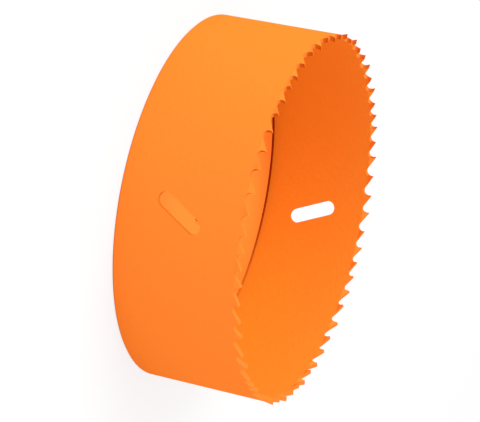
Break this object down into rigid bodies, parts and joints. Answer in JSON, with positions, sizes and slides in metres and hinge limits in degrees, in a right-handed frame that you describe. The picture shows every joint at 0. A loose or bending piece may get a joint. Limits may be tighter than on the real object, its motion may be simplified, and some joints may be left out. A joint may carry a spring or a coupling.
{
  "type": "hole saw",
  "caption": "Cup-shaped hole saw: a rolled band with set teeth round its rim and two slanted slots, on a backing plate threaded for an arbor.",
  "frame": {"origin": "centre of the backing plate's outer face, which is the face the saw stands on", "axes": "+Z along the saw's axis from the backing plate to the tooth tips; the two slots face -Y and +Y"},
  "size_m": [0.1047, 0.105, 0.0365],
  "materials": {
    "enamelled_band": "satin orange enamel",
    "enamelled_plate": "satin orange enamel"
  },
  "bodies": {
    "root": {"saw_band": "enamelled_band", "backing_plate": "enamelled_plate"}
  },
  "joints": []
}
